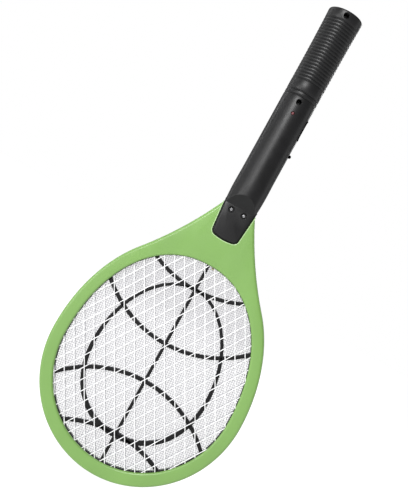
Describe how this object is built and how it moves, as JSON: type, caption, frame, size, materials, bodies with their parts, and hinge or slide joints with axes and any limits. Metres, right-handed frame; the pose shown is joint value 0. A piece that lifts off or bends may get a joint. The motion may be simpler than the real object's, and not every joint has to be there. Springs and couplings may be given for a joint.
{
  "type": "electric fly swatter",
  "caption": "Hand-held electric fly swatter: teardrop head with layered metal nets over curved ribs, on a round grooved battery handle with a thumb button.",
  "frame": {"origin": "on the handle's centre line, in the middle of the hand's grip, 50 mm from the butt", "axes": "+Z along the handle towards its butt, -Y out of the swatting face that carries the screws and the lamp, +X towards the thumb button"},
  "size_m": [0.2034, 0.0356, 0.5],
  "materials": {
    "green_plastic": "glossy-satin leaf green moulding",
    "guard_wire": "bright plated wire",
    "inner_wire": "bright fine wire",
    "black_plastic": "plain black moulding",
    "handle_plastic": "satin black moulding",
    "gloss_black_plastic": "glossy black",
    "white_plastic": "off-white moulding",
    "contact_metal": "stamped strip",
    "red_lens": "clear red lens",
    "board": "solder mask on a resin board",
    "screw_steel": "nickel plated",
    "ferrite": "sintered dark grey",
    "copper_wire": "enamelled winding",
    "capacitor_coat": "dipped brown coat",
    "disc_coat": "dipped orange coat",
    "resistor_coat": "tan lacquer",
    "cell_wrap": "printed metal jacket, no marks",
    "spring_steel": "nickel plated spring steel",
    "red_insulation": "soft insulation",
    "black_insulation": "soft insulation"
  },
  "bodies": {
    "swatter": {"head_frame_front": "green_plastic", "head_frame_rear": "green_plastic", "front_guard_net": "guard_wire", "front_spacer_ribs": "black_plastic", "live_net": "inner_wire", "rear_spacer_ribs": "black_plastic", "rear_guard_net": "guard_wire", "ground_contact_strip": "contact_metal", "live_contact_strip": "contact_metal", "handle_front_shell": "handle_plastic", "handle_rear_shell": "handle_plastic", "push_switch_body": "black_plastic", "power_switch_body": "contact_metal", "indicator_led": "red_lens", "led_leads": "contact_metal", "circuit_board": "board", "board_screws": "screw_steel", "transformer_core": "ferrite", "transformer_bobbin": "white_plastic", "transformer_winding": "copper_wire", "storage_capacitor": "capacitor_coat", "doubler_capacitors": "disc_coat", "oscillator_transistor": "black_plastic", "rectifier_diodes": "black_plastic", "board_resistors": "resistor_coat", "battery_cell_left": "cell_wrap", "battery_cell_right": "cell_wrap", "battery_springs": "spring_steel", "bridge_contact": "spring_steel", "negative_contact": "spring_steel", "positive_contact": "spring_steel", "battery_lead_positive": "red_insulation", "battery_lead_negative": "black_insulation", "live_net_lead": "red_insulation", "guard_net_lead": "black_insulation", "neck_screws": "screw_steel", "handle_screws": "screw_steel"},
    "thumb_button": {"thumb_button": "gloss_black_plastic"},
    "switch_plunger": {"push_switch_plunger": "white_plastic"},
    "power_switch": {"power_switch_knob": "gloss_black_plastic"},
    "battery_cover": {"battery_cover": "handle_plastic"}
  },
  "joints": [
    {"name": "thumb_button_press", "type": "slide", "parent": "swatter", "child": "thumb_button", "axis": [-1, 0, 0], "range_m": [0, 0.0016], "stiffness_N_per_m": 600, "springref_m": -0.001},
    {"name": "switch_plunger_press", "type": "slide", "parent": "swatter", "child": "switch_plunger", "axis": [-1, 0, 0], "range_m": [0, 0.0016]},
    {"name": "power_switch_slide", "type": "slide", "parent": "swatter", "child": "power_switch", "axis": [0, 0, 1], "range_m": [0, 0.003]},
    {"name": "battery_cover_slide", "type": "slide", "parent": "swatter", "child": "battery_cover", "axis": [0, 0, 1], "range_m": [0, 0.088]}
  ],
  "couplings": [
    {"joint": "switch_plunger_press", "follows": "thumb_button_press", "ratio": 1}
  ]
}
